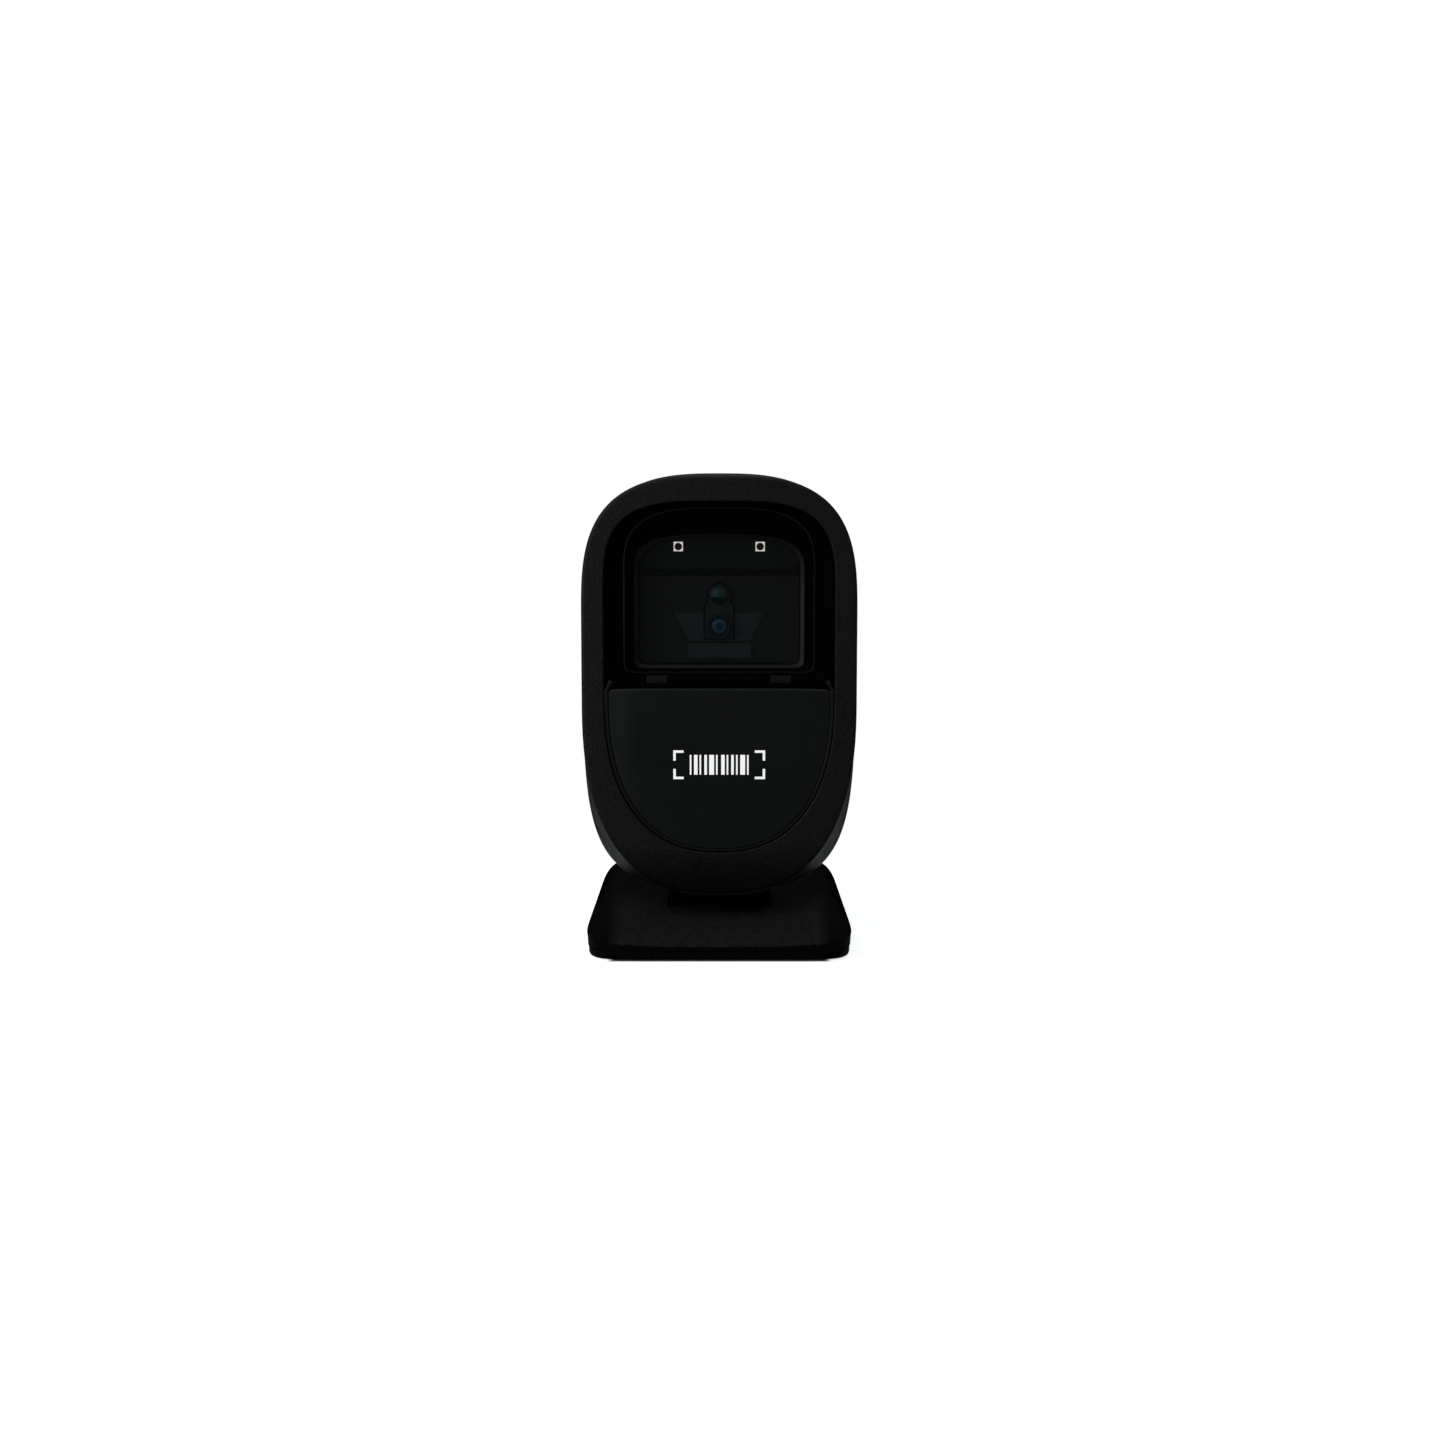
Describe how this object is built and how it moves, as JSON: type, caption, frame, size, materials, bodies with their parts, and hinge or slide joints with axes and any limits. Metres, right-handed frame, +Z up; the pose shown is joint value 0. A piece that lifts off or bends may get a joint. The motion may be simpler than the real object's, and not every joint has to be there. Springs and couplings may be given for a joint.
{
  "type": "hands-free barcode scanner",
  "caption": "Upright hands-free barcode imager: a rounded black head with a deep scan window over a gloss lower cover, tilting on a low weighted base.",
  "frame": {"origin": "on the counter, under the middle of the object's bounding box", "axes": "+Z up; the scan window faces -Y; +X is on the right of someone who faces the window"},
  "size_m": [0.085, 0.083, 0.1477],
  "materials": {
    "textured_black": "fine spark-eroded texture",
    "gloss_black": "polished",
    "window": "clear, lightly tinted",
    "rubber": "matte",
    "dark_plastic": "matte",
    "grey_plastic": "satin",
    "board": "solder mask",
    "component": "moulded",
    "lens_glass": "blue coated",
    "led_white": "ceramic white",
    "led_dome": "clear dark red",
    "light_pipe": "smoked",
    "steel": "zinc plated",
    "gold": "gold plated",
    "bronze": "sintered"
  },
  "bodies": {
    "base": {"base_shell": "textured_black", "base_plate": "dark_plastic", "ballast_plate": "steel", "neck_post": "textured_black", "hinge_shaft": "steel", "wave_washer_right": "steel", "shaft_clip_right": "steel", "neck_screw_right": "steel", "front_foot_right": "rubber", "rear_foot_right": "rubber", "wave_washer_left": "steel", "shaft_clip_left": "steel", "neck_screw_left": "steel", "front_foot_left": "rubber", "rear_foot_left": "rubber", "base_screw_right_front": "steel", "base_screw_right_rear": "steel", "base_screw_left_front": "steel", "base_screw_left_rear": "steel"},
    "head": {"front_bezel": "textured_black", "window_frame": "gloss_black", "scan_window": "window", "window_gasket": "rubber", "front_panel": "gloss_black", "light_pipe": "light_pipe", "rear_housing": "textured_black", "housing_screw_right_low": "steel", "housing_screw_right_high": "steel", "housing_screw_left_low": "steel", "housing_screw_left_high": "steel", "optics_chassis": "dark_plastic", "imager_tray": "grey_plastic", "imager_skirt": "grey_plastic", "imager_body": "dark_plastic", "lens_barrel": "component", "lens_element": "lens_glass", "aimer_lens": "lens_glass", "imager_board": "board", "illumination_board": "board", "led_right": "led_white", "led_dome_right": "led_dome", "hinge_bush_right": "bronze", "led_left": "led_white", "led_dome_left": "led_dome", "hinge_bush_left": "bronze", "main_board": "board", "shield_can": "steel", "flex_connector": "component", "imager_flex": "bronze", "indicator_lamp": "led_white", "socket_board": "board", "board_connector": "component", "interface_jack": "component", "jack_contacts": "gold", "speaker": "component", "trigger_board": "board", "trigger_switch": "component", "trigger_spring": "steel"},
    "trigger": {"trigger_button": "gloss_black"}
  },
  "joints": [
    {"name": "head_tilt", "type": "hinge", "parent": "base", "child": "head", "pos_m": [0, 0.004, 0.031], "axis": [1, 0, 0], "range_deg": [-20, 10]},
    {"name": "trigger_press", "type": "slide", "parent": "head", "child": "trigger", "axis": [0, -1, 0], "range_m": [0, 0.0012], "stiffness_N_per_m": 800, "springref_m": -0.001, "deforming": ["trigger_spring"]}
  ]
}
